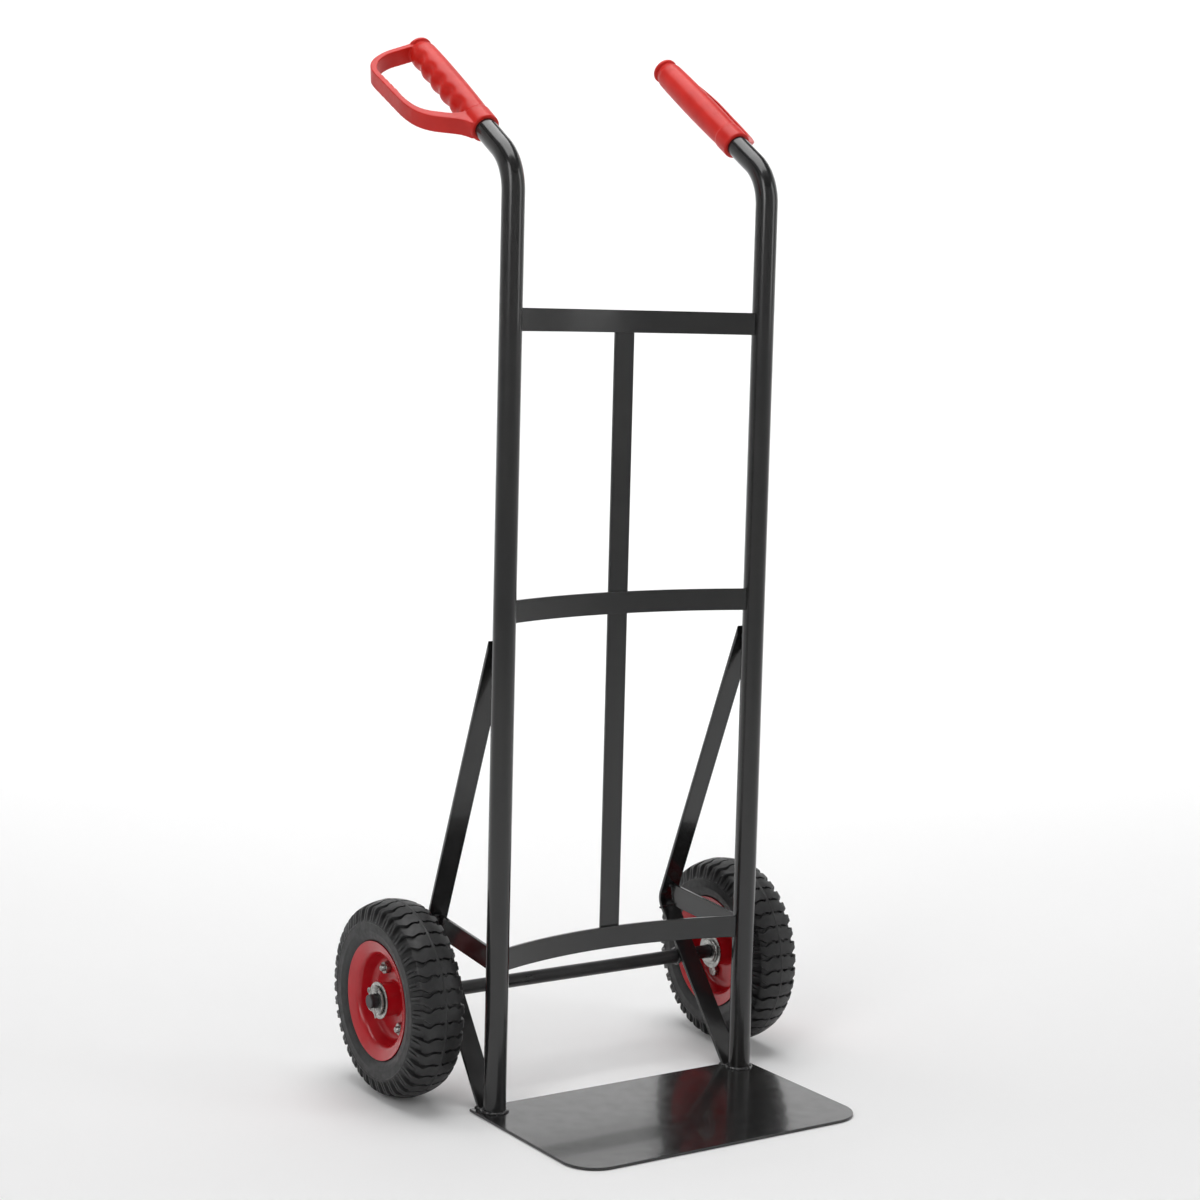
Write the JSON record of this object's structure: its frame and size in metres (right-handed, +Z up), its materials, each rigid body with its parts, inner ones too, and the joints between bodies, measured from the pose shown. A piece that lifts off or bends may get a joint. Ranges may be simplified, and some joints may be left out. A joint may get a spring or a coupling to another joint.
{
  "type": "hand truck",
  "caption": "Upright hand truck with a flat toe plate, bowed cross rails, strut brackets, pneumatic wheels and grips with knuckle guards.",
  "frame": {"origin": "on the floor, at the underside of the toe plate, midway between the two uprights' centre lines", "axes": "+Z up along the uprights, -Y forwards over the toe plate, +Y back towards the wheels and grips, +X along the axle to the truck's right wheel seen from the front"},
  "size_m": [0.532, 0.4386, 1.184],
  "materials": {
    "black_paint": "glossy black powder coat",
    "axle_black": "satin black paint on round bar",
    "red_paint": "glossy red paint on pressed steel",
    "red_plastic": "moulded red plastic, soft sheen",
    "zinc": "bright zinc plate",
    "tyre": "black tyre rubber",
    "rubber": "black rubber"
  },
  "bodies": {
    "frame": {"toe_plate": "black_paint", "top_rail": "black_paint", "middle_rail": "black_paint", "lower_rail": "black_paint", "centre_bar": "black_paint", "axle": "axle_black", "left_upright": "black_paint", "left_upper_strut": "black_paint", "left_lower_strut": "black_paint", "left_tie_bar": "black_paint", "left_handle": "red_plastic", "left_inner_washer": "zinc", "left_outer_washer": "zinc", "left_split_pin": "zinc", "right_upright": "black_paint", "right_upper_strut": "black_paint", "right_lower_strut": "black_paint", "right_tie_bar": "black_paint", "right_handle": "red_plastic", "right_inner_washer": "zinc", "right_outer_washer": "zinc", "right_split_pin": "zinc"},
    "left_wheel": {"left_tyre": "tyre", "left_inner_tube": "rubber", "left_valve": "rubber", "left_outer_rim": "red_paint", "left_inner_rim": "red_paint", "left_hub_tube": "red_paint", "left_outer_bearing": "zinc", "left_inner_bearing": "zinc", "left_rim_bolt_1": "zinc", "left_rim_nut_1": "zinc", "left_rim_bolt_2": "zinc", "left_rim_nut_2": "zinc", "left_rim_bolt_3": "zinc", "left_rim_nut_3": "zinc", "left_rim_bolt_4": "zinc", "left_rim_nut_4": "zinc"},
    "right_wheel": {"right_tyre": "tyre", "right_inner_tube": "rubber", "right_valve": "rubber", "right_outer_rim": "red_paint", "right_inner_rim": "red_paint", "right_hub_tube": "red_paint", "right_outer_bearing": "zinc", "right_inner_bearing": "zinc", "right_rim_bolt_1": "zinc", "right_rim_nut_1": "zinc", "right_rim_bolt_2": "zinc", "right_rim_nut_2": "zinc", "right_rim_bolt_3": "zinc", "right_rim_nut_3": "zinc", "right_rim_bolt_4": "zinc", "right_rim_nut_4": "zinc"}
  },
  "joints": [
    {"name": "left_wheel_spin", "type": "hinge", "parent": "frame", "child": "left_wheel", "pos_m": [-0.229, 0.1142, 0.1114], "axis": [1, 0, 0], "continuous": true},
    {"name": "right_wheel_spin", "type": "hinge", "parent": "frame", "child": "right_wheel", "pos_m": [0.229, 0.1142, 0.1114], "axis": [1, 0, 0], "continuous": true}
  ]
}
